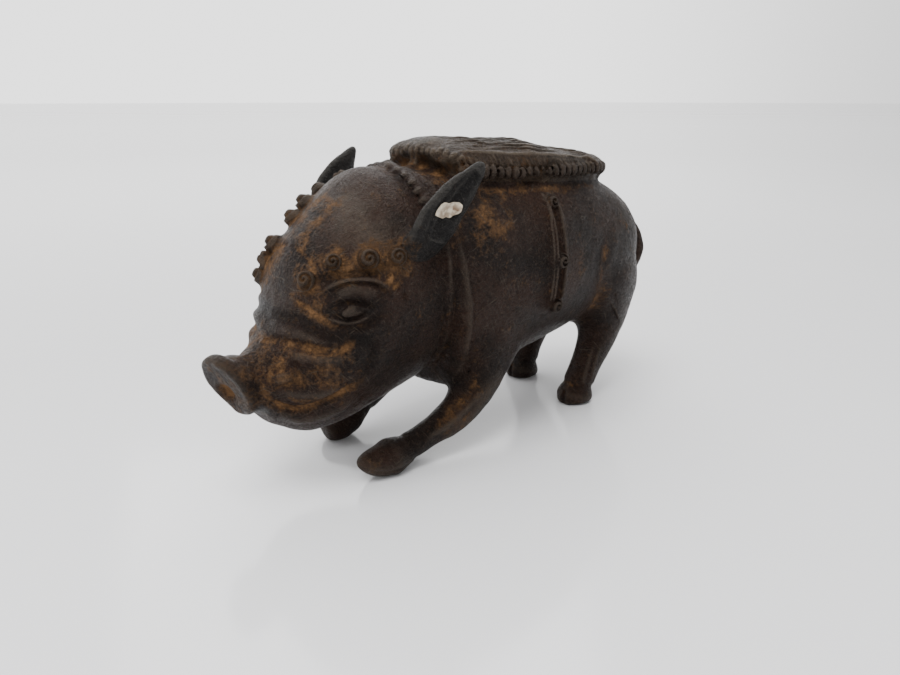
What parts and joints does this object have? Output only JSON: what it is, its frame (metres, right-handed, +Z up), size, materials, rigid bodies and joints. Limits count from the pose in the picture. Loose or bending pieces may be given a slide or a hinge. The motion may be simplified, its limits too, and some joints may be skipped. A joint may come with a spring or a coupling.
{
  "type": "cast animal figurine",
  "caption": "Palm-sized cast-metal boar in mid-stride with a scalloped mane crest, collar, girth bands and curled brow, standing on flat hooves.",
  "frame": {"origin": "on the ground at the middle of the bounding box, between the four hooves", "axes": "-X the way the boar faces, -Y its left side, +Z up"},
  "size_m": [0.1236, 0.046, 0.068],
  "materials": {
    "body_metal": "satin, brown patina",
    "crest_metal": "rough, ochre in recesses",
    "raised_metal": "satin, worn edges",
    "ear_metal": "dark, smooth",
    "paper": "matt, torn"
  },
  "bodies": {
    "root": {"trunk_casting": "body_metal", "head_casting": "body_metal", "snout_disc": "body_metal", "left_front_leg": "body_metal", "right_front_leg": "body_metal", "left_rear_leg": "body_metal", "right_rear_leg": "body_metal", "tail": "body_metal", "mane_crest": "crest_metal", "crest_tufts": "raised_metal", "neck_collar": "raised_metal", "left_girth_band": "raised_metal", "right_girth_band": "raised_metal", "girth_studs": "raised_metal", "brow_curls": "raised_metal", "nape_beads": "raised_metal", "left_eye": "raised_metal", "right_eye": "raised_metal", "left_ear": "ear_metal", "right_ear": "ear_metal", "label_scrap": "paper"}
  },
  "joints": []
}
